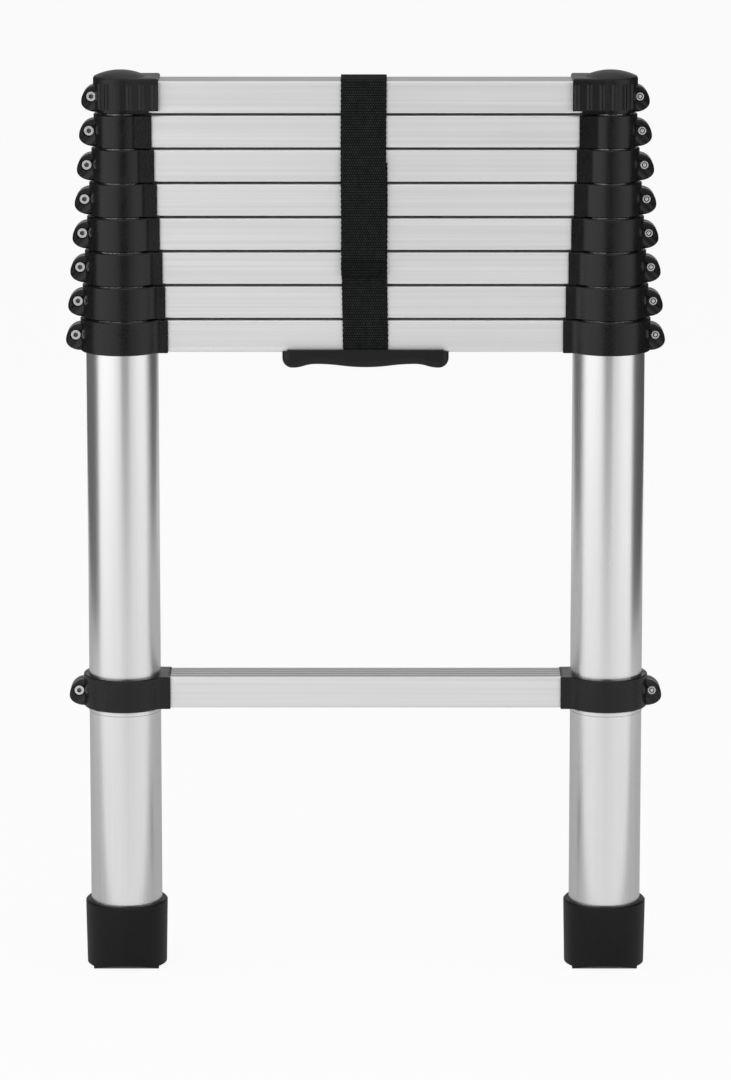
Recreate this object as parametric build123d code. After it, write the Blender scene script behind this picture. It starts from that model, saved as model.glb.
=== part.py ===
from build123d import *
import math
import os

os.makedirs("parts", exist_ok=True)

# Telescopic ladder, closed. Millimetres, +Z up, X across, the front looks towards -Y.

# Layout
rung_count = 9
tube_spacing = 390.0  # between the centre lines of the two tubes
rung_1_z = 218.0  # underside of the lowest rung
rung_spacing = 292.0  # from rung to rung once a stage is drawn out
stack_pitch = 27.4  # from rung to rung in the closed stack

# Tubes, each sliding inside the one below
tube_od = 58.0  # lowest and widest tube
tube_step = 4.0  # loss of diameter from stage to stage
tube_wall = 1.5
inner_tube_length = 400.0
bead_height = 2.5  # rolled bead under the lowest clamp
bead_proud = 0.4
bead_drop = 1.5

# Rungs, hollow extrusions with a grooved tread
rung_depth = 34.0
rung_height = 25.5
rung_wall = 1.6
tread_wall = 2.4
rung_edge = 1.5
groove_count = 4
groove_pitch = 7.0
groove_width = 2.6
groove_depth = 1.3

# Clamp collars at the rung ends
clamp_drop = 0.8  # collar underside below the rung underside
clamp_height = 26.6
clamp_wall = 4.4
clamp_reach = 8.4  # from the tube to the rung's end
clamp_cheek = 1.8  # collar face in front of the rung face
clamp_hollow = 7.0  # concave blend from ring to rung block
clamp_edge = 0.7
notch_length = 2.0  # notches in the collar's top, in line with the tread's grooves
guide_lip = 4.0  # lip that guides the next tube
guide_gap = 0.4
spigot_length = 12.0
spigot_gap = 0.15
ear_half = 9.0  # half the thickness of the pair of ears
ear_reach = 15.7  # from the tube to the tip of the ear
ear_root = 3.7
ear_mid = 9.0  # height of the tip over the collar's underside
ear_up = 13.3
ear_down = 8.2
ear_slit = 1.6
ear_edge = 1.5
scoop_radius = 7.0  # hollow across the lower corner of each ear
scoop_depth = 1.6
scoop_in = 4.0
scoop_up = 3.5

# Clamp screws
screw_reach = 7.8  # from the tube to the screw's axis
screw_height = 13.3  # over the collar's underside
screw_shank = 4.0
screw_head = 7.6
screw_head_length = 4.0
screw_sink = 0.8
screw_seat = 9.6
nut_end = 6.8
nut_seat = 8.0
nut_length = 4.0
socket_width = 3.6
socket_depth = 2.6

# Top caps
cap_gap = 0.1
cap_wall = 2.1
cap_reach = 15.9  # from the tube to the cap's end
cap_skirt = 2.2  # skirt edge over the rung's underside
cap_over = 2.6  # cap shoulder over the rung's top
cap_edge = 2.0
dome_rise = 4.8
dome_inset = 0.8
rib_proud = 0.9
rib_width = 1.2
rib_root = 4.4
rib_pitch = 10.0
rib_first = 7.7  # first rib on the flat side, from the tube's centre line
rib_turn = 23.0  # degrees between ribs on the round side
rib_start = 5.0
rib_top = 4.8
rib_foot = 0.8
flat_ribs = 3
round_ribs = 3

# Feet
foot_height = 55.0
foot_wall = 4.4
foot_taper = 1.0
foot_floor = 9.0
foot_edge = 1.4
sole_flat = 19.5  # half depth of the flat part of the sole
sole_rise = 6.0
tread_count = 5
tread_pitch = 7.0
tread_width = 2.6
tread_depth = 2.0
tread_side = 26.5  # half width of the tread, with a step up to each side

# Carry handle under the second rung
handle_length = 133.0
handle_drop = 13.0  # lobes under the rung
handle_dip = 3.0  # hollows between the lobes
handle_lip = 2.2  # lip up the rung's faces
lip_inset = 4.0  # from the handle's end to its lip
handle_wall = 4.0
handle_belly = 0.4  # middle of the underside over the lobes
handle_turn = 8.0  # round ends
handle_corner = 6.0
dip_x = 39.5

# Strap in two lapped halves
strap_width = 36.5
strap_thick = 1.6
strap_gap = 0.3
strap_turn = 0.8
strap_lower_end = 662.5  # upper edge of the lower half
strap_upper_end = 572.5  # lower edge of the upper half
strap_jog = 5.4
strap_clear = 1.5

rung_half = rung_depth / 2
block_half = rung_half + clamp_cheek
side_x = tube_spacing / 2


def tube_r(stage):
    return (tube_od - (stage - 1) * tube_step) / 2


def rung_z(rung):
    if rung == 1:
        return rung_1_z
    return rung_1_z + rung_spacing + (rung - 2) * stack_pitch


def clamp_z(rung):
    return rung_z(rung) - clamp_drop


def carrier(rung):
    return max(1, rung - 1)


def pair(piece):
    left = Pos(-side_x, 0, 0) * piece
    return left + Rot(0, 0, 180) * left


def upright(shape, bottom, top):
    return extrude(Pos(0, 0, bottom) * shape, amount=top - bottom)


def disc(radius, bottom, top):
    return upright(Circle(radius), bottom, top)


def cross_pin(diameter, x, z, front, back):
    circle = Plane(origin=(x, front, z), z_dir=(0, 1, 0)) * Circle(diameter / 2)
    return extrude(circle, amount=back - front)


def slab(x0, x1, y0, y1, z0, z1):
    return Pos((x0 + x1) / 2, (y0 + y1) / 2, (z0 + z1) / 2) * Box(x1 - x0, y1 - y0, z1 - z0)


def tubes(stage):
    radius = tube_r(stage)
    top = clamp_z(stage + 1) + clamp_height - guide_lip
    bottom = foot_floor if stage == 1 else top - inner_tube_length
    tube = disc(radius, bottom, top)
    if stage == 1:
        bead_top = clamp_z(1) - bead_drop
        tube += disc(radius + bead_proud, bead_top - bead_height, bead_top)
    return pair(tube - disc(radius - tube_wall, bottom, top))


def groove_lines():
    return [(i - (groove_count - 1) / 2) * groove_pitch for i in range(groove_count)]


def rung_outline(rung):
    middle = rung_z(rung) + rung_height / 2
    face = Pos(0, middle) * RectangleRounded(rung_depth, rung_height, rung_edge)
    side = groove_width / 2
    groove = Polygon((-side, 0), (0, -groove_depth), (side, 0), (0, groove_depth), align=None)
    for y in groove_lines():
        face -= Pos(y, rung_z(rung) + rung_height) * groove
    return face


def rung_hollow(rung, gap):
    bottom = rung_z(rung) + rung_wall + gap
    top = rung_z(rung) + rung_height - tread_wall - gap
    width = rung_depth - 2 * (rung_wall + gap)
    return Pos(0, (bottom + top) / 2) * Rectangle(width, top - bottom)


def along_x(face, x0, x1):
    plane = Plane(origin=(x0, 0, 0), x_dir=(0, 1, 0), z_dir=(1, 0, 0))
    return extrude(plane * face, amount=x1 - x0)


def rung(number):
    half = side_x - tube_r(carrier(number)) - clamp_reach
    return along_x(rung_outline(number) - rung_hollow(number, 0), -half, half)


def ear_shape(radius, base):
    tip = ear_reach - ear_root
    upper = Ellipse(tip, ear_up) & Pos(0, ear_up) * Rectangle(4 * tip, 2 * ear_up)
    lower = Ellipse(tip, ear_down) & Pos(0, -ear_down) * Rectangle(4 * tip, 2 * ear_down)
    face = Plane.XZ * (Pos(-radius - ear_root, base + ear_mid) * (upper + lower))
    ear = extrude(face, amount=ear_half, both=True)
    rims = ear.edges().filter_by(lambda e: abs(abs(e.center().Y) - ear_half) < 0.001)
    return chamfer(rims, ear_edge)


def scoops(tip_x, base):
    stand_off = ear_half + scoop_radius - scoop_depth
    scoop = Rot(0, 45, 0) * Cylinder(scoop_radius, 4 * ear_reach)
    low = Pos(tip_x + scoop_in, 0, base + scoop_up)
    return low * (Pos(0, -stand_off, 0) * scoop + Pos(0, stand_off, 0) * scoop)


def ring_and_block(ring, end, half):
    root = min(ring, half)
    block = Polyline((0, -root), (end, -half), (end, half), (0, root), close=True)
    return Circle(ring) + make_face(block)


def clamp_plan(radius):
    ring = radius + clamp_wall
    plan = ring_and_block(ring, radius + clamp_reach, block_half)
    corners = plan.vertices().filter_by(lambda v: abs(math.hypot(v.X, v.Y) - ring) < 0.001)
    return fillet(corners, clamp_hollow)


def clamp(number):
    stage = carrier(number)
    radius = tube_r(stage)
    base = clamp_z(number)
    top = base + clamp_height
    body = upright(clamp_plan(radius), base, top)
    faces = body.faces().sort_by(Axis.Z)
    body = chamfer(faces[0].edges() + faces[-1].edges(), clamp_edge)
    tip_x = -radius - ear_reach
    body += ear_shape(radius, base) - scoops(tip_x, base)
    seat = top if number == 1 else top - guide_lip
    body -= disc(radius, base, seat)
    if number > 1:
        body -= disc(tube_r(stage + 1) + guide_gap, base, top)
    body -= slab(tip_x - 1, -radius + tube_step, -ear_slit / 2, ear_slit / 2, base, top)
    x = -radius - screw_reach
    z = base + screw_height
    body -= cross_pin(screw_shank, x, z, -ear_half, ear_half)
    body -= cross_pin(screw_seat, x, z, -ear_half - 1, screw_head_length + screw_sink - ear_half)
    body -= cross_pin(nut_seat, x, z, ear_half - nut_length, ear_half + 1)
    end = radius + clamp_reach
    notch = rung_z(number) + rung_height - groove_depth
    for y in groove_lines():
        side = groove_width / 2
        body -= slab(end - notch_length, end + 1, y - side, y + side, notch, top + 1)
    return body + along_x(rung_hollow(number, spigot_gap), end, end + spigot_length)


def screw(number):
    x = -tube_r(carrier(number)) - screw_reach
    z = clamp_z(number) + screw_height
    front = screw_sink - ear_half
    under = front + screw_head_length
    body = cross_pin(screw_head, x, z, front, under)
    body += cross_pin(screw_shank, x, z, under, ear_half - nut_length)
    body += cross_pin(nut_end, x, z, ear_half - nut_length, ear_half - screw_sink)
    hexagon = RegularPolygon(socket_width / 2, 6, major_radius=False)
    plane = Plane(origin=(x, front, z), z_dir=(0, 1, 0))
    return body - extrude(plane * hexagon, amount=socket_depth)


def cap_ribs(half, outer, bottom, top):
    root = rib_root / 2
    crest = rib_width / 2
    sunk = -cap_wall / 2
    left = Polyline((0, sunk), (-root, sunk), (-root, 0), (-crest, rib_proud), (0, rib_proud))
    rib = upright(make_face(left + mirror(left, Plane.YZ)), bottom, top)
    ribs = [Pos(rib_first + i * rib_pitch, half, 0) * rib for i in range(flat_ribs)]
    for i in range(round_ribs):
        ribs.append(Rot(0, 0, rib_start + i * rib_turn) * (Pos(0, outer, 0) * rib))
    return Part() + ribs


def cap():
    radius = tube_r(rung_count - 1)
    inner = radius + clamp_wall + cap_gap
    outer = inner + cap_wall
    half = block_half + cap_gap + cap_wall
    end = radius + cap_reach
    bottom = rung_z(rung_count) + cap_skirt
    rung_top = rung_z(rung_count) + rung_height
    top = rung_top + cap_over
    body = upright(ring_and_block(outer, end, half), bottom, top)
    body = fillet(body.faces().sort_by(Axis.Z)[-1].edges(), cap_edge)
    dome = outer - dome_inset
    ball = (dome**2 + dome_rise**2) / (2 * dome_rise)
    body += Pos(0, 0, top + dome_rise - ball) * Sphere(ball) & disc(dome, top - 1, top + dome_rise + 1)
    ribs = cap_ribs(half, outer, bottom + rib_foot, top - rib_top)
    body += ribs + mirror(ribs, Plane.XZ)
    clamp_top = clamp_z(rung_count) + clamp_height
    clamp_end = radius + clamp_reach + cap_gap
    room = ring_and_block(inner, clamp_end, block_half + cap_gap)
    body -= upright(room, bottom - 1, clamp_top + cap_gap)
    body -= slab(0, end + 1, -rung_half - cap_gap, rung_half + cap_gap, bottom - 1, rung_top + cap_gap)
    ear_top = clamp_z(rung_count) + ear_mid + ear_up + cap_gap
    ear_room = ear_half + 2 * cap_gap
    return body - slab(-2 * outer, -radius, -ear_room, ear_room, bottom - 1, ear_top)


def foot():
    wide = tube_r(1) + foot_wall
    body = Pos(0, 0, foot_height / 2) * Cone(wide - foot_taper, wide, foot_height)
    body = chamfer(body.faces().sort_by(Axis.Z)[-1].edges(), foot_edge)
    body -= disc(tube_r(1), foot_floor, foot_height)
    deep = wide + 1
    slope = sole_rise / (wide - sole_flat)
    for side in (-1, 1):
        low = (side * sole_flat, 0)
        wedge = Polyline(low, (side * deep, 0), (side * deep, slope * (deep - sole_flat)), low)
        body -= along_x(make_face(wedge), -deep, deep)
    across = tread_width / 2
    for i in range(tread_count):
        y = (i - (tread_count - 1) / 2) * tread_pitch
        body -= slab(-deep, deep, y - across, y + across, -1, tread_depth)
    step = slab(tread_side, deep, -deep, deep, -1, tread_depth)
    return body - step - Rot(0, 0, 180) * step


def wave_arc(start, end):
    middle = ((start[0] + end[0]) / 2, (start[1] + end[1]) / 2)
    leave = TangentArc(start, middle, tangent=(1, 0))
    return leave + TangentArc(middle, end, tangent=leave % 1)


def handle():
    rung_base = rung_z(2)
    low = rung_base - handle_drop
    top = rung_base + handle_lip
    end = handle_length / 2
    side = low + handle_turn
    lobe = (handle_turn - end, low)
    dip = (-dip_x, low + handle_dip)
    middle = (0, low + handle_belly)
    wave = TangentArc((-end, side), lobe, tangent=(0, -1))
    wave = wave + wave_arc(lobe, dip) + wave_arc(dip, middle)
    lip = end - lip_inset
    rim = Polyline((-end, side), (-end, rung_base), (-lip, rung_base), (-lip, top), (0, top))
    outline = wave + rim
    face = make_face(outline + mirror(outline, Plane.YZ))
    half = rung_half + handle_wall
    body = extrude(Plane.XZ * face, amount=half, both=True)
    under = body.edges().filter_by(lambda e: abs(abs(e.center().Y) - half) < 0.01)
    under = under.filter_by(lambda e: e.center().Z < rung_base)
    body = fillet(under, handle_corner)
    body -= slab(-end - 1, end + 1, -rung_half, rung_half, rung_base, top + 1)
    half_strap = strap_width / 2 + strap_gap
    deep = rung_half + 2 * strap_gap + strap_thick
    floor = rung_base - 2 * strap_gap - strap_thick
    return body - slab(-half_strap, half_strap, -deep, deep, floor, top + 1)


def strap_band(face):
    return along_x(face, -strap_width / 2, strap_width / 2)


def strap_lower():
    near = rung_half + strap_gap
    far = near + strap_thick
    low = rung_z(2) - strap_gap
    outside = Pos(0, (low - strap_thick + strap_lower_end) / 2) * Rectangle(
        2 * far, strap_lower_end - low + strap_thick
    )
    outside = fillet(outside.vertices().group_by(Axis.Y)[0], strap_turn + strap_thick)
    inside = Pos(0, (low + strap_lower_end) / 2) * Rectangle(2 * near, strap_lower_end - low)
    inside = fillet(inside.vertices().group_by(Axis.Y)[0], strap_turn)
    return strap_band(outside - inside)


def strap_upper():
    near = rung_half + strap_gap
    far = near + strap_thick
    step = strap_thick + strap_gap
    high = rung_z(rung_count) + rung_height + strap_gap
    bend = strap_lower_end + strap_clear
    face = Pos(0, (bend + high + strap_thick) / 2) * Rectangle(2 * far, high + strap_thick - bend)
    face = fillet(face.vertices().group_by(Axis.Y)[-1], strap_turn + strap_thick)
    gap = Pos(0, (bend + high) / 2) * Rectangle(2 * near, high - bend)
    face -= fillet(gap.vertices().group_by(Axis.Y)[-1], strap_turn)
    for side in (-1, 1):
        points = [
            (near, bend + strap_jog),
            (near + step, bend),
            (near + step, strap_upper_end),
            (far + step, strap_upper_end),
            (far + step, bend),
            (far, bend + strap_jog),
        ]
        tail = make_face(Polyline(*[(side * y, z) for y, z in points], close=True))
        cut = Pos(side * (near + far) / 2, bend + strap_jog / 2) * Rectangle(3 * strap_thick, strap_jog)
        face = face - cut + tail
    return strap_band(face)


def save(name, piece):
    export_step(piece, "parts/" + name + ".step")


save("feet", pair(foot()))
for stage in range(1, rung_count):
    save("stage_%d_tubes" % stage, tubes(stage))
for number in range(1, rung_count + 1):
    save("rung_%d" % number, rung(number))
    save("rung_%d_clamps" % number, pair(clamp(number)))
    save("rung_%d_screws" % number, pair(screw(number)))
save("top_caps", pair(cap()))
save("handle", handle())
save("strap_lower", strap_lower())
save("strap_upper", strap_upper())
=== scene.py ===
import math

import bmesh
import bpy
from mathutils import Matrix, Vector
from mathutils.kdtree import KDTree


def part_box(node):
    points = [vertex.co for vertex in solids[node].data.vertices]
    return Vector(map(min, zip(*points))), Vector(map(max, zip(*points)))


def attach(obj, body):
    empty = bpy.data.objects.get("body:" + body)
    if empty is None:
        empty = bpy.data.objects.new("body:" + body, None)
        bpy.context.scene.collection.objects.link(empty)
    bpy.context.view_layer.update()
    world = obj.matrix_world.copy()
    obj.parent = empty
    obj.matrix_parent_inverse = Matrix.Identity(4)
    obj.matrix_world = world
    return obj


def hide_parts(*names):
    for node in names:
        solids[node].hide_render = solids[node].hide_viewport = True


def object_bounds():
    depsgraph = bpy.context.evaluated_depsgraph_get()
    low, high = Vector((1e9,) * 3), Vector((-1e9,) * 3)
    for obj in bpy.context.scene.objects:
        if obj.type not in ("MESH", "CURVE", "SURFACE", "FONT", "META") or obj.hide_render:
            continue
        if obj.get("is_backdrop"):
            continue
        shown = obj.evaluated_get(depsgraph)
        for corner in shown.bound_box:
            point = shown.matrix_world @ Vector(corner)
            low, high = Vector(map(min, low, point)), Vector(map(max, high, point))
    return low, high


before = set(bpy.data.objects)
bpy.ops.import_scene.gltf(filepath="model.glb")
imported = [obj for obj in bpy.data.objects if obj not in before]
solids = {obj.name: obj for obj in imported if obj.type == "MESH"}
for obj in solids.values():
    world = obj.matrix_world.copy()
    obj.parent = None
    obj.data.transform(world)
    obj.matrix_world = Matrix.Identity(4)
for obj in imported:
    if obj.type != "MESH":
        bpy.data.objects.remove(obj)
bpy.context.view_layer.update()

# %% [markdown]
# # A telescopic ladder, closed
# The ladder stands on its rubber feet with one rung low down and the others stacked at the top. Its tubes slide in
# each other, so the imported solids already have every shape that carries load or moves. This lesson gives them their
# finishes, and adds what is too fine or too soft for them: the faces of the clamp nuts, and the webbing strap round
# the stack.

# %% [markdown]
# ## Camera
# The picture looks at the ladder from straight in front and a little from above, with the uprights almost parallel. A
# near camera would spread them, and one without perspective would lose how the tread of the low rung opens to view. So
# a long lens stands four metres away, and a small downward shift lets it tilt less while the whole ladder stays in the
# frame. Loading leaves the solids selected and an operator acts on all that is selected, so here and later everything
# is deselected before something new is added.

# %% A long lens in front, a little above
camera_place = (0, -4.0, 1.2)
camera_tilt = math.radians(10)
bpy.ops.object.select_all(action="DESELECT")
bpy.ops.object.camera_add(location=camera_place, rotation=(math.pi / 2 - camera_tilt, 0, 0))
camera = bpy.context.object
camera.data.lens = 168.7
camera.data.shift_y = -0.16
bpy.context.scene.camera = camera
print("camera at", camera_place, "lens", round(camera.data.lens, 1))

# %% [markdown]
# ## Studio floor
# A pale floor runs out into a white world, so no horizon shows. A painted floor lit by the lamps would look grey next
# to the white, and brighter lamps would bleach the aluminium. So the floor is mostly its own white for the rays that
# show it, from the camera or in a reflection, and the rest of it takes the lamps and the ladder's soft shadow.

# %% A material to start from


def new_material(name):
    material = bpy.data.materials.new(name)
    material.use_nodes = True
    material.node_tree.nodes.clear()
    return material, material.node_tree.nodes, material.node_tree.links


def add_node(nodes, kind, **values):
    node = nodes.new("ShaderNode" + kind)
    for socket, value in values.items():
        node.inputs[socket.replace("_", " ")].default_value = value
    return node


def grey(tone):
    return (tone, tone, tone, 1)


# %% Sums, blends and the last node


def calculate(nodes, links, operation, *values):
    """A Math node, fed with sockets and plain numbers."""
    node = nodes.new("ShaderNodeMath")
    node.operation = operation
    for i, value in enumerate(values):
        if isinstance(value, float):
            node.inputs[i].default_value = value
        else:
            links.new(value, node.inputs[i])
    return node.outputs[0]


def blend_shaders(nodes, links, share, first, second):
    blend = nodes.new("ShaderNodeMixShader")
    links.new(share, blend.inputs[0])
    links.new(first.outputs[0], blend.inputs[1])
    links.new(second.outputs[0], blend.inputs[2])
    return blend


def show_surface(nodes, links, shader, on="Material"):
    out = nodes.new("ShaderNodeOutput" + on)
    links.new(shader.outputs[0], out.inputs["Surface"])


# %% Rays that show a surface


def showing_rays(nodes, links):
    path = nodes.new("ShaderNodeLightPath")
    total = path.outputs["Is Camera Ray"]
    for other in ("Is Glossy Ray", "Is Transmission Ray"):
        total = calculate(nodes, links, "MAXIMUM", total, path.outputs[other])
    return total


# %% The floor
floor_size = 60
floor_paint = 0.92
own_white = 0.92
bpy.ops.object.select_all(action="DESELECT")
bpy.ops.mesh.primitive_plane_add(size=floor_size)
floor = bpy.context.object
floor.name = "floor"
floor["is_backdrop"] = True
floor_white, nodes, links = new_material("floor_white")
paint = add_node(nodes, "BsdfDiffuse", Color=grey(floor_paint))
glow = add_node(nodes, "Emission", Strength=1.0)
glow_share = calculate(nodes, links, "MULTIPLY", showing_rays(nodes, links), own_white)
show_surface(nodes, links, blend_shaders(nodes, links, glow_share, paint, glow))
floor.data.materials.append(floor_white)
print("floor", floor.dimensions[:2])

# %% White world, dimmer as a lamp
room_white = grey(0.96)
lamp_strength = 0.45
world = bpy.data.worlds.new("white_room")
bpy.context.scene.world = world
world.use_nodes = True
nodes, links = world.node_tree.nodes, world.node_tree.links
nodes.clear()
as_lamp = add_node(nodes, "Background", Color=room_white, Strength=lamp_strength)
as_shown = add_node(nodes, "Background", Color=room_white, Strength=1.0)
room = blend_shaders(nodes, links, showing_rays(nodes, links), as_lamp, as_shown)
show_surface(nodes, links, room, on="World")
print("world", world.name)

# %% [markdown]
# ## Dark cards
# Bright metal in a white room has no edges. A photographer stands dark cards round the object, and the round tubes
# then show a dark line down each edge and a soft darker band in the middle. Such bands could be painted on the metal,
# but they would be wrong from every other side, so the cards stand in the scene. Only reflections see them: they cast
# no shadow, and no camera sees them. They are tall enough for the ladder when it is drawn out. The low part of the
# tubes mirrors the floor and not the cards that stand on it, so two paler cards lie there.

# %% Setting out a card


def set_card(name, centre, size, turned, tone):
    bpy.ops.object.select_all(action="DESELECT")
    bpy.ops.mesh.primitive_plane_add(size=1, location=centre, rotation=turned)
    card = bpy.context.object
    card.name = name
    card.scale = (*size, 1)
    bpy.ops.object.transform_apply(location=True, rotation=True, scale=True)
    card.visible_camera = False
    card.visible_diffuse = False
    card.visible_shadow = False
    card.visible_transmission = False
    card_grey, nodes, links = new_material(name + "_grey")
    show_surface(nodes, links, add_node(nodes, "Emission", Color=grey(tone), Strength=1.0))
    card.data.materials.append(card_grey)
    card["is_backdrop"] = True


# %% Cards at the sides, behind, in front and on the floor
facing = (math.pi / 2, 0, 0)
side_on = (math.pi / 2, 0, math.pi / 2)
lying = (0, 0, 0)
cards = {
    # centre, width and height, how it stands, tone
    "left_card": ((-0.68, 0.62, 1.54), (1.4, 2.72), side_on, 0.12),
    "right_card": ((0.68, 0.62, 1.54), (1.4, 2.72), side_on, 0.08),
    "back_card": ((0, 1.35, 1.45), (1.4, 2.9), facing, 0.58),
    "front_card": ((0.10, -1.6, 1.5), (0.78, 2.8), facing, 0.12),
    "shade_card": ((0.88, -1.6, 1.6), (0.78, 2.6), facing, 0.55),
    "rear_floor_card": ((0, 0.6, 0.001), (2.7, 1.5), lying, 0.42),
    "front_floor_card": ((0, -1.2, 0.001), (2.7, 2.0), lying, 0.76),
}
for name, card in cards.items():
    set_card(name, *card)
print("cards", list(cards))

# %% [markdown]
# ## Lamps
# Two large soft boxes stand at the front left and the front right, the left one stronger, so that the rungs darken a
# little from left to right. A third hangs above and lights the treads and the tops of the collars. Small lamps would
# do for plastic, but on metal each would be a hard spot. A real soft box hides what is behind it. Here a reflection
# would see the lamp and the white room behind it added together and bleach, so each box gets a dark card as its back.

# %% Soft boxes
back_gap = 0.05
back_tone = 0.1


def hang_softbox(name, place, aim, size, power):
    place, aim = Vector(place), Vector(aim)
    bpy.ops.object.select_all(action="DESELECT")
    bpy.ops.object.light_add(type="AREA", location=place)
    lamp = bpy.context.object
    lamp.name = name
    lamp.data.shape = "RECTANGLE"
    lamp.data.size, lamp.data.size_y = size
    lamp.data.energy = power
    lamp.visible_camera = False
    lamp.rotation_euler = (aim - place).to_track_quat("-Z", "Y").to_euler()
    away = (place - aim).normalized()
    set_card(name + "_back_card", place + back_gap * away, size, lamp.rotation_euler, back_tone)


hang_softbox("left_box", place=(-1.9, -1.4, 1.25), aim=(0, 0, 0.45), size=(3.0, 2.6), power=28)
hang_softbox("right_box", place=(2.05, -1.2, 1.25), aim=(0, 0, 0.45), size=(1.7, 2.4), power=12)
hang_softbox("top_box", place=(0, -0.5, 2.6), aim=(0, 0, 0.3), size=(2.2, 1.8), power=12)

# %% [markdown]
# ## Aluminium
# The tubes are drawn and the rungs are extruded, so both have fine lines along their length, under a dull silvery
# anodised skin. A picture of brushed metal would repeat itself on so long a piece. Noise that is stretched along one
# axis doesn't: it changes quickly across the piece and hardly at all along it. The same noise sets colour, roughness
# and a faint relief, so that a line is at once a little duller and a little lower. A second, cloudy noise breaks up the
# shine where hands and other tubes have rubbed.

# %% A noise in the piece's own metres


def noise_at(nodes, links, scale, detail, stretch=(1, 1, 1)):
    place = nodes.new("ShaderNodeTexCoord")
    squeeze = add_node(nodes, "Mapping", Scale=stretch)
    noise = add_node(nodes, "TexNoise", Scale=scale, Detail=detail)
    links.new(place.outputs["Object"], squeeze.inputs["Vector"])
    links.new(squeeze.outputs["Vector"], noise.inputs["Vector"])
    return noise.outputs["Fac"]


# %% From noise to tone, roughness and relief
noise_low, noise_high = 0.3, 0.7  # most of a noise lies between these


def spread(nodes, links, value, low, high):
    wide = add_node(nodes, "MapRange", From_Min=noise_low, From_Max=noise_high, To_Min=low, To_Max=high)
    links.new(value, wide.inputs["Value"])
    return wide.outputs["Result"]


def tone_ramp(nodes, links, value, dark, light):
    ramp = nodes.new("ShaderNodeValToRGB")
    first, last = ramp.color_ramp.elements
    first.position, last.position = noise_low, noise_high
    first.color, last.color = dark, light
    links.new(value, ramp.inputs["Fac"])
    return ramp.outputs["Color"]


def half_and_half(nodes, links, first, second):
    both = calculate(nodes, links, "ADD", first, second)
    return calculate(nodes, links, "MULTIPLY", both, 0.5)


def give_relief(nodes, links, shader, height, depth):
    relief = add_node(nodes, "Bump", Strength=1.0, Distance=depth)
    links.new(height, relief.inputs["Height"])
    links.new(relief.outputs["Normal"], shader.inputs["Normal"])


# %% Drawn and extruded aluminium


def lined_aluminium(name, stretch, tones, roughness, line_depth):
    material, nodes, links = new_material(name)
    lines = noise_at(nodes, links, scale=1.0, detail=1.0, stretch=stretch)
    rubbed = noise_at(nodes, links, scale=9.0, detail=4.0)
    metal = add_node(nodes, "BsdfPrincipled", Metallic=1.0)
    links.new(tone_ramp(nodes, links, lines, *map(grey, tones)), metal.inputs["Base Color"])
    both = half_and_half(nodes, links, lines, rubbed)
    links.new(spread(nodes, links, both, *roughness), metal.inputs["Roughness"])
    give_relief(nodes, links, metal, lines, line_depth)
    show_surface(nodes, links, metal)
    return material


tube_finish = lined_aluminium(
    "drawn_tube", stretch=(600, 600, 3), tones=(0.87, 0.90), roughness=(0.26, 0.32), line_depth=0.0000005
)
rung_finish = lined_aluminium(
    "extruded_rung", stretch=(2, 420, 420), tones=(0.91, 0.98), roughness=(0.53, 0.63), line_depth=0.000002
)
print("aluminium:", tube_finish.name, rung_finish.name)

# %% [markdown]
# Two places get painted shade. The treads are darkened between their rounded edges, a little on the flat lands and more
# on the sloping flanks of the grooves: painted shade on the faces that look up. And under the lowest collars a fine
# dark line is painted round the tube, as the shadow under its rolled bead. Other materials for these places would need
# faces of their own, and the packed meshes stay as they are. So each is painted shade: a mask of where it lies darkens
# the colour that is already there. The tread is told by how far a face looks up, the shadow line by its height.

# %% Painted shade over a finish


# Darkens the colour already there under a mask: painted shade, used on treads, bead line, sockets, nut grooves and hem.
def paint_shade(material, mask, share):
    nodes, links = material.node_tree.nodes, material.node_tree.links
    shader = nodes["Principled BSDF"]
    unshaded_colour = shader.inputs["Base Color"].links[0].from_socket
    shaded_colour = nodes.new("ShaderNodeMix")
    shaded_colour.data_type = "RGBA"
    shaded_colour.blend_type = "MULTIPLY"
    shaded_colour.inputs["B"].default_value = grey(share)
    links.new(mask, shaded_colour.inputs["Factor"])
    links.new(unshaded_colour, shaded_colour.inputs["A"])
    links.new(shaded_colour.outputs["Result"], shader.inputs["Base Color"])


def distance_along(nodes, links, output, axis, middle):
    """How far a point is from middle along one axis of a texture coordinate."""
    place = nodes.new("ShaderNodeTexCoord")
    axes = nodes.new("ShaderNodeSeparateXYZ")
    links.new(place.outputs[output], axes.inputs[0])
    away = calculate(nodes, links, "SUBTRACT", axes.outputs[axis], middle)
    return calculate(nodes, links, "ABSOLUTE", away)


def within(nodes, links, value, reach, soft):
    """1 where the value is under reach, and 0 from reach + soft on."""
    fade = add_node(nodes, "MapRange", From_Min=reach, From_Max=reach + soft, To_Min=1.0, To_Max=0.0)
    links.new(value, fade.inputs["Value"])
    return fade.outputs["Result"]


# %% Painted shade on the treads
rung_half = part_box("rung_9")[1].y
unshaded_edge = 0.0018
nodes, links = rung_finish.node_tree.nodes, rung_finish.node_tree.links
from_middle = distance_along(nodes, links, "Object", "Y", 0.0)
between_edges = within(nodes, links, from_middle, reach=rung_half - unshaded_edge, soft=0.0010)
tread_painted_shade = (
    # the way up that a face looks, the play in that, and the share of its brightness that is left
    (1.0, 0.35, 0.78),
    (0.7, 0.15, 0.48),
)
# painted shade: faces that look up are darkened a little, the sloping groove flanks more
for upward, play, share in tread_painted_shade:
    off_upward = distance_along(nodes, links, "Normal", "Z", upward)
    looks_so = within(nodes, links, off_upward, reach=play, soft=0.1)
    paint_shade(rung_finish, calculate(nodes, links, "MULTIPLY", between_edges, looks_so), share)
print("treads: painted shade within", round(rung_half - unshaded_edge, 4), "m of the middle plane")
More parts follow.
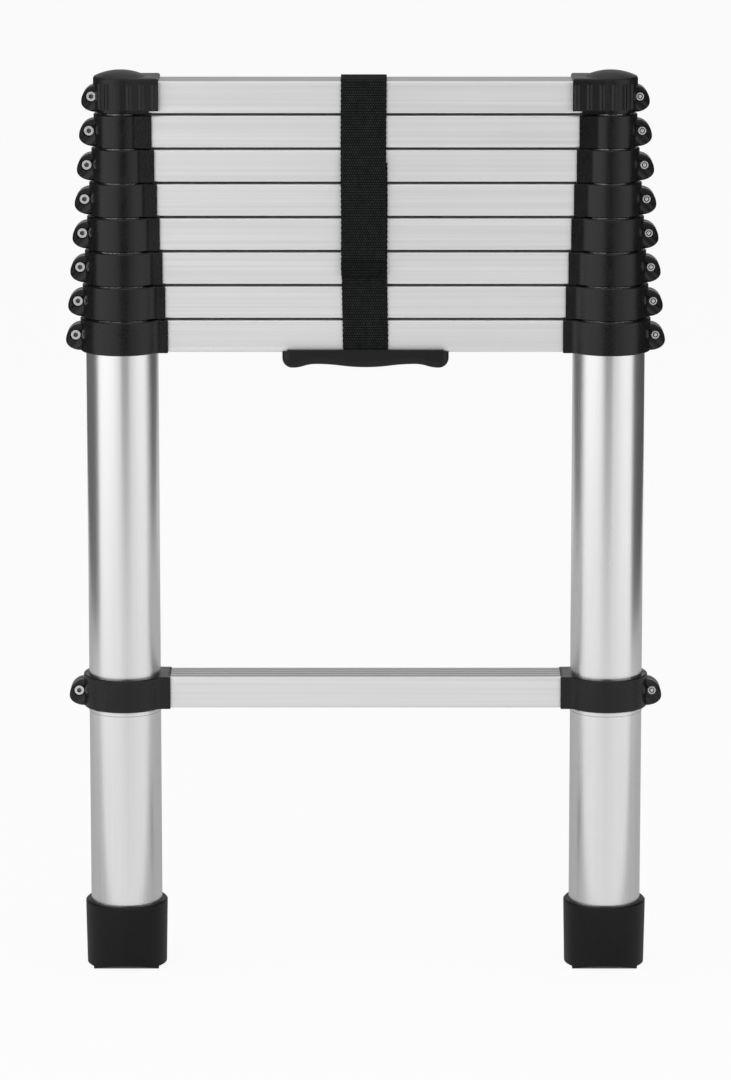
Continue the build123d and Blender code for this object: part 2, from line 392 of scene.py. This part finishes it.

# %% Painted shadow under the rolled bead
below_collar = 0.004
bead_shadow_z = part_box("rung_1_clamps")[0].z - below_collar
tube_with_bead_shadow = tube_finish.copy()
tube_with_bead_shadow.name = "drawn_tube_with_painted_bead_shadow"
nodes, links = tube_with_bead_shadow.node_tree.nodes, tube_with_bead_shadow.node_tree.links
from_bead_shadow = distance_along(nodes, links, "Object", "Z", bead_shadow_z)
# painted shadow: a thin dark line round the tube under the rolled bead
paint_shade(tube_with_bead_shadow, within(nodes, links, from_bead_shadow, reach=0.0002, soft=0.0003), share=0.55)
print("painted bead shadow at", round(bead_shadow_z, 4), "m")

# %% [markdown]
# ## Black plastic and rubber
# The collars, caps and handle come from a mould with an eroded face, which leaves a fine, even grain and a silky gloss.
# The feet are rubber, and duller. Grain in the mesh would take millions of faces, so it is a bump. All four share one
# recipe: a fine noise for the grain, and a broad one for the patches that hands have polished.

# %% Grained black finishes
grain = 0.0016


def grained_black(name, tones, roughness, gloss, grain_depth):
    material, nodes, links = new_material(name)
    fine = noise_at(nodes, links, scale=1 / grain, detail=2.0)
    patches = noise_at(nodes, links, scale=30.0, detail=5.0)
    both = half_and_half(nodes, links, fine, patches)
    body = add_node(nodes, "BsdfPrincipled")
    body.inputs["Specular IOR Level"].default_value = gloss
    links.new(tone_ramp(nodes, links, both, *map(grey, tones)), body.inputs["Base Color"])
    links.new(spread(nodes, links, both, *roughness), body.inputs["Roughness"])
    give_relief(nodes, links, body, fine, grain_depth)
    show_surface(nodes, links, body)
    return material


collar_finish = grained_black(
    "moulded_collar", tones=(0.0005, 0.007), roughness=(0.22, 0.36), gloss=0.39, grain_depth=0.00009
)
cap_finish = grained_black(
    "moulded_cap", tones=(0.0005, 0.007), roughness=(0.33, 0.47), gloss=0.41, grain_depth=0.00007
)
handle_finish = grained_black(
    "moulded_handle", tones=(0.004, 0.008), roughness=(0.34, 0.48), gloss=0.32, grain_depth=0.00010
)
foot_finish = grained_black(
    "moulded_foot", tones=(0.004, 0.008), roughness=(0.38, 0.54), gloss=0.26, grain_depth=0.00010
)
print("black:", [m.name for m in (collar_finish, cap_finish, handle_finish, foot_finish)])

# %% [markdown]
# ## Clamp screws
# The screws are zinc plated. Each head sits in a round pocket of its ear, and its hexagon socket gets painted shade:
# its colour is darkened inside, where the recess would be in shade. Depth tells the two apart: all heads lie at the
# same distance from the ladder's middle plane, so a mask along Y finds every socket at once, and no face has to be
# picked by hand.

# %% Plated screws with painted shade in the sockets
zinc_dark, zinc_light = (0.66, 0.67, 0.69, 1), (0.77, 0.78, 0.80, 1)
# share of brightness left in a recess: painted shade
recess_painted_shade_share = 0.15


def plated(name, dark_under, soft):
    """Zinc with painted shade where it lies less than dark_under from the ladder's middle plane."""
    material, nodes, links = new_material(name)
    speckle = noise_at(nodes, links, scale=900.0, detail=3.0)
    metal = add_node(nodes, "BsdfPrincipled", Metallic=1.0)
    links.new(tone_ramp(nodes, links, speckle, zinc_dark, zinc_light), metal.inputs["Base Color"])
    from_middle = distance_along(nodes, links, "Object", "Y", 0.0)
    # painted shade: a socket's recess or a nut's groove is darkened
    paint_shade(material, within(nodes, links, from_middle, dark_under, soft), recess_painted_shade_share)
    links.new(spread(nodes, links, speckle, low=0.24, high=0.36), metal.inputs["Roughness"])
    give_relief(nodes, links, metal, speckle, depth=0.000004)
    show_surface(nodes, links, metal)
    return material


head_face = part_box("rung_1_screws")[1].y
socket_start = 0.0012
plated_screw = plated("plated_screw", dark_under=head_face - socket_start, soft=0.001)
print("screw heads at", round(head_face, 4), "m from the middle plane")

# %% [markdown]
# ## Finishes on the solids
# A node's name says what it is, so the ending of the name picks its finish. A list of all the names would do the same,
# but it is longer and easier to get wrong. The last ending that fits wins, so the lowest tubes get the painted shadow
# line under their bead, and rungs are what is left.

# %% One finish for each kind of piece
finish_by_ending = {
    "_tubes": tube_finish,
    "stage_1_tubes": tube_with_bead_shadow,
    "_clamps": collar_finish,
    "_screws": plated_screw,
    "feet": foot_finish,
    "top_caps": cap_finish,
    "handle": handle_finish,
}
for name, solid in solids.items():
    finish = rung_finish
    for ending, material in finish_by_ending.items():
        if name.endswith(ending):
            finish = material
    solid.data.materials.clear()
    solid.data.materials.append(finish)
print("finishes on", len(solids), "solids")

# %% [markdown]
# ## Nut faces
# The thread of each screw ends in a round nut. Its face has a rounded rim and a groove round the domed end of the
# thread, and the groove gets painted shade. The imported nut is a plain round bar, which is enough to hold the clamp,
# so
# the face is laid on it here: a thin disc, a ring and a flattened ball, all half sunk. A profile turned round the axis
# would do as well, but the three plain shapes are quicker to size. One face is made and copied to every nut. Heads and
# nuts lie equally deep, so depth again tells the shaded groove from the bright metal. A nut leaves with its rung, so
# the nuts of each body make one piece.

# %% Choosing and joining pieces


def choose(*pieces):
    bpy.ops.object.select_all(action="DESELECT")
    for piece in pieces:
        piece.select_set(True)
    bpy.context.view_layer.objects.active = pieces[0]


def join_as(name, pieces):
    choose(*pieces)
    bpy.ops.object.transform_apply(location=True, rotation=True, scale=True)
    bpy.ops.object.join()
    bpy.context.object.name = name
    return bpy.context.object


# %% The face of one nut
rim_reach = 0.0027
rim_round = 0.0006
groove_proud = 0.00005
tip_reach = 0.0015
tip_rise = 0.0006
soft_angle = math.radians(50)
across = (math.pi / 2, 0, 0)
bpy.ops.object.select_all(action="DESELECT")
bpy.ops.mesh.primitive_cylinder_add(vertices=32, radius=rim_reach, depth=2 * groove_proud, rotation=across)
groove = bpy.context.object
bpy.ops.mesh.primitive_torus_add(
    major_radius=rim_reach, minor_radius=rim_round, major_segments=32, minor_segments=12, rotation=across
)
rim = bpy.context.object
bpy.ops.mesh.primitive_uv_sphere_add(
    segments=24, ring_count=12, radius=tip_reach, scale=(1, 1, tip_rise / tip_reach), rotation=across
)
tip = bpy.context.object
nut_face = join_as("nut_face", (groove, rim, tip))
bpy.ops.object.shade_smooth_by_angle(angle=soft_angle)
print("nut face", [round(v, 5) for v in nut_face.dimensions], "m")

# %% Copies of a piece


def copy_to(piece, place, turn=0.0):
    """A copy with its own mesh, turned about the upright."""
    choose(piece)
    bpy.ops.object.duplicate()
    copy = bpy.context.object
    copy.location = place
    copy.rotation_euler.z = turn
    return copy


def take_away(piece):
    choose(piece)
    bpy.ops.object.delete()


# %% Nuts in front on the right, behind on the left
# painted shade in the groove of each nut face
plated_nut = plated("plated_nut", dark_under=head_face + 2 * groove_proud, soft=0.0002)
rungs_of = {"base": (1, 2)}
for stage in range(2, 9):
    rungs_of[f"stage_{stage}"] = (stage + 1,)
for body, rungs in rungs_of.items():
    copies = []
    for rung in rungs:
        low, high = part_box(f"rung_{rung}_screws")
        head_radius = (high.z - low.z) / 2
        for side in (-1, 1):
            place = (side * (high.x - head_radius), -side * head_face, low.z + head_radius)
            copies.append(copy_to(nut_face, place))
    nut_faces = join_as("nut_faces_" + body, copies)
    nut_faces.data.materials.append(plated_nut)
    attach(nut_faces, body)
take_away(nut_face)

# %% [markdown]
# ## Webbing strap
# A woven strap holds the stack shut. Its lower half runs under the second rung, through a channel in the handle. Its
# upper half goes over the top rung and laps the lower one on the front and behind, where its ends are folded over and
# sewn. Cloth could be simulated over the rungs, but webbing that is pulled tight keeps its thickness and bends only
# along its length. So it is made as a person would lay it: a straight edge as wide as the strap, extruded step by step
# along the way round the rungs, half a row of the weave at a time.

# %% The way round the rungs
strap_width = 0.0365
strap_thick = 0.0013
half_row = 0.00105
off_rung = 0.0011
lap_step, hem_step = 0.0019, 0.0014
near = rung_half + off_rung
lapped = near + lap_step
hem = lapped + hem_step
turn_step = 22.5


def go_straight(way, y, z):
    start, end = way[-1], Vector((0, y, z))
    steps = max(1, round((end - start).length / half_row))
    way += [start.lerp(end, i / steps) for i in range(1, steps + 1)]


def go_round(way, y, z, degrees):
    centre = Vector((0, y, z))
    arm = way[-1] - centre
    steps = max(4, round(abs(degrees) / turn_step))
    for i in range(1, steps + 1):
        way.append(centre + Matrix.Rotation(math.radians(degrees) * i / steps, 3, "X") @ arm)


print("strap", strap_width, "m wide, at", round(near, 4), "m from the middle plane")

# %% The lower half's way
corner = 0.0016
lower_end = 0.6625
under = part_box("rung_2")[0].z - off_rung
lower_way = [Vector((0, -near, lower_end))]
go_straight(lower_way, -near, under + corner)
go_round(lower_way, corner - near, under + corner, 90)
go_straight(lower_way, near - corner, under)
go_round(lower_way, near - corner, under + corner, 90)
go_straight(lower_way, near, lower_end)
print("lower half:", len(lower_way), "steps")

# %% The upper half's way, with a folded hem at both ends
upper_end = 0.5725
hem_length = 0.0105
hem_top = upper_end + hem_length
fold = (hem - lapped) / 2
fold_z = upper_end + fold
jog_start, jog_end = lower_end + 0.0015, lower_end + 0.0069
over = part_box("rung_9")[1].z + off_rung
upper_way = [Vector((0, -hem, hem_top))]
go_straight(upper_way, -hem, fold_z)
go_round(upper_way, -lapped - fold, fold_z, 180)
go_straight(upper_way, -lapped, jog_start)
go_straight(upper_way, -near, jog_end)
go_straight(upper_way, -near, over - corner)
go_round(upper_way, corner - near, over - corner, -90)
go_straight(upper_way, near - corner, over)
go_round(upper_way, near - corner, over - corner, -90)
go_straight(upper_way, near, jog_end)
go_straight(upper_way, lapped, jog_start)
go_straight(upper_way, lapped, fold_z)
go_round(upper_way, lapped + fold, fold_z, 180)
go_straight(upper_way, hem, hem_top)
print("upper half:", len(upper_way), "steps")

# %% [markdown]
# The weave has to follow the strap and not the room, so each vertex keeps where it lies on the flat strap, in
# millimetres across and along, as its UV. The edges of real webbing are not straight: each weft thread turns back there
# and leaves a small loop, and the strap wanders a little from side to side. A bump can't break an outline, so the edge
# vertices themselves are moved.

# %% Laying a band


def extrude_along(way):
    for here, there in zip(way, way[1:]):
        bpy.ops.mesh.extrude_region_move(TRANSFORM_OT_translate={"value": there - here})


def lay_band(name, way):
    behind = way[0] + Vector((0, strap_width / 2, 0))
    bpy.ops.object.select_all(action="DESELECT")
    bpy.ops.mesh.primitive_plane_add(size=strap_width, location=behind, calc_uvs=False)
    band = bpy.context.object
    band.name = name
    bpy.ops.object.transform_apply(location=True, rotation=False, scale=False)
    bpy.ops.object.mode_set(mode="EDIT")
    bpy.ops.mesh.select_mode(type="VERT")
    mesh = bmesh.from_edit_mesh(band.data)
    for vertex in mesh.verts:
        vertex.select = vertex.co.y > behind.y
    mesh.select_flush_mode()
    bpy.ops.mesh.delete(type="VERT")
    bpy.ops.mesh.select_all(action="SELECT")
    bpy.ops.mesh.subdivide(number_cuts=7)
    extrude_along(way)
    bpy.ops.object.mode_set(mode="OBJECT")
    return band


# %% Loops along the edges
to_mm = 1000
edge_from = 0.49  # of the width, counted from the middle
loop_width = 0.985  # between two loops, as a share of the width at a loop
wander, wander_rate = 0.0002, 43
handle_top, lean_length = 0.53, 0.05


def weave_edges(band, way, lean):
    """Flat place of every vertex as UV, then loops along both edges, a slight wander and the lean to one side."""
    along = [0.0]
    for here, there in zip(way, way[1:]):
        along.append(along[-1] + (there - here).length)
    steps = KDTree(len(way))
    for i, point in enumerate(way):
        steps.insert(point, i)
    steps.balance()
    rows = [steps.find(Vector((0, v.co.y, v.co.z)))[1] for v in band.data.vertices]
    flat = band.data.uv_layers.new(name="flat")
    for loop in band.data.loops:
        i = loop.vertex_index
        flat.data[loop.index].uv = (band.data.vertices[i].co.x * to_mm, along[rows[i]] * to_mm)
    for vertex, row in zip(band.data.vertices, rows):
        if abs(vertex.co.x) > edge_from * strap_width:
            vertex.co.x *= 1.0 if row % 4 < 2 else loop_width
        above_handle = min(1.0, max(0.0, (vertex.co.z - handle_top) / lean_length))
        vertex.co.x += wander * math.sin(along[row] * wander_rate) + lean * above_handle
    return along[-1]


# %% Thickness and soft edges
edge_round = 0.0004


def close_and_smooth():
    bpy.ops.object.mode_set(mode="EDIT")
    bpy.ops.mesh.select_all(action="SELECT")
    bpy.ops.mesh.normals_make_consistent(inside=False)
    bpy.ops.object.mode_set(mode="OBJECT")
    bpy.ops.object.shade_smooth_by_angle(angle=soft_angle)


def thicken(band):
    choose(band)
    bpy.ops.object.modifier_add(type="SOLIDIFY")
    band.modifiers[-1].thickness = strap_thick
    band.modifiers[-1].offset = 0
    bpy.ops.object.modifier_apply(modifier=band.modifiers[-1].name)
    bpy.ops.object.modifier_add(type="BEVEL")
    band.modifiers[-1].width = edge_round
    band.modifiers[-1].segments = 2
    band.modifiers[-1].angle_limit = math.radians(60)
    bpy.ops.object.modifier_apply(modifier=band.modifiers[-1].name)
    close_and_smooth()


# %% Both halves
lower_lean, upper_lean = -0.0008, -0.0015
lower_band = lay_band("strap_lower_webbing", lower_way)
lower_length = weave_edges(lower_band, lower_way, lower_lean)
thicken(lower_band)
upper_band = lay_band("strap_upper_webbing", upper_way)
upper_length = weave_edges(upper_band, upper_way, upper_lean)
thicken(upper_band)
print("strap lengths:", round(lower_length, 4), round(upper_length, 4))

# %% [markdown]
# ## Stitches
# Two rows of stitches hold each folded end. A stitch is a short length of thread that comes up through the webbing,
# lies on it and goes down again. A row of dashes in the material would stay flat, so one stitch is made like the strap,
# a small circle extruded along an arch, and copied along the rows in front and behind. Both its ends are sunk in the
# webbing.

# %% One stitch
thread = 0.00025
stitch_length = 0.0026
stitch_sunk = 0.0005
stitch_rise = 0.0006
stitch_steps = 6
arch = []
for i in range(stitch_steps + 1):
    part_way = i / stitch_steps
    rise = stitch_rise * math.sin(math.pi * part_way)
    arch.append(Vector((stitch_length * (part_way - 0.5), stitch_sunk - rise, 0)))
bpy.ops.object.select_all(action="DESELECT")
bpy.ops.mesh.primitive_circle_add(
    vertices=8, radius=thread, fill_type="NGON", location=arch[0], rotation=(0, math.pi / 2, 0)
)
stitch = bpy.context.object
bpy.ops.object.transform_apply(location=True, rotation=True, scale=True)
bpy.ops.object.mode_set(mode="EDIT")
bpy.ops.mesh.select_all(action="SELECT")
extrude_along(arch)
bpy.ops.object.mode_set(mode="OBJECT")
close_and_smooth()
print("stitch", [round(v, 5) for v in stitch.dimensions], "m")

# %% Rows of stitches on both folded ends
stitch_pitch = 0.0034
stitches_in_row = 10
row_heights = (0.0030, 0.0085)  # over the end of the strap
half_way = (stitches_in_row - 1) / 2
hem_face = hem + strap_thick / 2
stitches = []
for side, turn in ((-1, 0.0), (1, math.pi)):
    for height in row_heights:
        for i in range(stitches_in_row):
            x = (i - half_way) * stitch_pitch + upper_lean
            stitches.append(copy_to(stitch, (x, side * hem_face, upper_end + height), turn))
take_away(stitch)
stitching = join_as("strap_stitching", stitches)
print("stitches:", len(stitches))

# %% [markdown]
# ## Weave
# The strap is a plain weave of thick warp threads: short upright dots that are staggered from row to row, like bricks.
# Modelled threads would take more faces than the whole ladder. A brick pattern on the flat place of the webbing gives
# the same, with soft joints: the bricks are the raised threads and the joints the dark between them. A fine noise
# stands for the fibres and a broad one for wear. The folded ends get painted shade: their colour is darkened. The
# sewing thread is smoother, and a stretched noise gives it its twist.

# %% Threads, fibres and wear
thread_pitch = 1.9  # millimetres, like the flat place
webbing, nodes, links = new_material("woven_webbing")
flat_place = nodes.new("ShaderNodeUVMap")
flat_place.uv_map = "flat"
threads = add_node(
    nodes,
    "TexBrick",
    Scale=1.0,
    Mortar_Size=0.55,
    Mortar_Smooth=1.0,
    Brick_Width=thread_pitch,
    Row_Height=2 * half_row * to_mm,
    Color1=(0.036, 0.038, 0.039, 1),
    Color2=(0.025, 0.027, 0.028, 1),
    Mortar=grey(0.001),
)
patches = add_node(nodes, "TexNoise", Scale=0.12, Detail=4.0)
fibres = add_node(nodes, "TexNoise", Scale=3.0, Detail=2.0)
for pattern in (threads, patches, fibres):
    links.new(flat_place.outputs["UV"], pattern.inputs["Vector"])
shade = half_and_half(nodes, links, patches.outputs["Fac"], fibres.outputs["Fac"])
worn = nodes.new("ShaderNodeMix")
worn.data_type = "RGBA"
worn.blend_type = "MULTIPLY"
worn.inputs["Factor"].default_value = 1.0
links.new(threads.outputs["Color"], worn.inputs["A"])
links.new(tone_ramp(nodes, links, shade, grey(0.55), grey(1.0)), worn.inputs["B"])
print("threads", thread_pitch, "mm apart, in rows of", round(2 * half_row * to_mm, 2), "mm")

# %% Webbing finish
hem_painted_shade_share = 0.72
cloth = add_node(nodes, "BsdfPrincipled")
cloth.inputs["Specular IOR Level"].default_value = 0.05
links.new(worn.outputs["Result"], cloth.inputs["Base Color"])
# painted shade over both folded ends of the upper half
for end in (0.0, upper_length * to_mm):
    from_end = distance_along(nodes, links, "UV", "Y", end)
    in_hem = within(nodes, links, from_end, reach=hem_length * to_mm, soft=2.0)
    paint_shade(webbing, in_hem, hem_painted_shade_share)
dullness = spread(nodes, links, fibres.outputs["Fac"], low=0.75, high=0.9)
links.new(dullness, cloth.inputs["Roughness"])
raised = calculate(nodes, links, "SUBTRACT", 1.0, threads.outputs["Fac"])
give_relief(nodes, links, cloth, raised, depth=0.0002)
show_surface(nodes, links, cloth)
for band in (lower_band, upper_band):
    band.data.materials.append(webbing)
print("weave on", lower_band.name, upper_band.name)

# %% Thread finish
sewing_thread, nodes, links = new_material("sewing_thread")
twist = noise_at(nodes, links, scale=1.0, detail=2.0, stretch=(2500, 400, 400))
yarn = add_node(nodes, "BsdfPrincipled")
yarn.inputs["Specular IOR Level"].default_value = 0.12
yarn_tone = tone_ramp(nodes, links, twist, (0.004, 0.004, 0.005, 1), (0.012, 0.012, 0.013, 1))
links.new(yarn_tone, yarn.inputs["Base Color"])
links.new(spread(nodes, links, twist, low=0.5, high=0.7), yarn.inputs["Roughness"])
give_relief(nodes, links, yarn, twist, depth=0.00005)
show_surface(nodes, links, yarn)
stitching.data.materials.append(sewing_thread)
print("thread on", stitching.name)

# %% [markdown]
# ## Strap on its bodies
# The lower half stays with the base and the upper half leaves with the top rung when the ladder is drawn out, so each
# rides on its own body and stands for the plain solid there. The stitches go with the upper half. One band for both
# halves would tear when the ladder is drawn out.

# %% Bodies and flat sizes
for band, body, node, length, rungs in (
    (lower_band, "base", "strap_lower", lower_length, ["rung_2"]),
    (upper_band, "stage_8", "strap_upper", upper_length, ["rung_9"]),
):
    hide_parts(node)
    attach(band, body)
    print(band.name, "rides on", body)
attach(stitching, "stage_8")

# %% [markdown]
# ## Size
# The plain view keeps the colours as they are written. At the end the box of the dressed ladder is measured, without
# the floor and the cards.

# %% Size of the dressed ladder
bpy.context.scene.view_settings.view_transform = "Standard"
low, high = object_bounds()
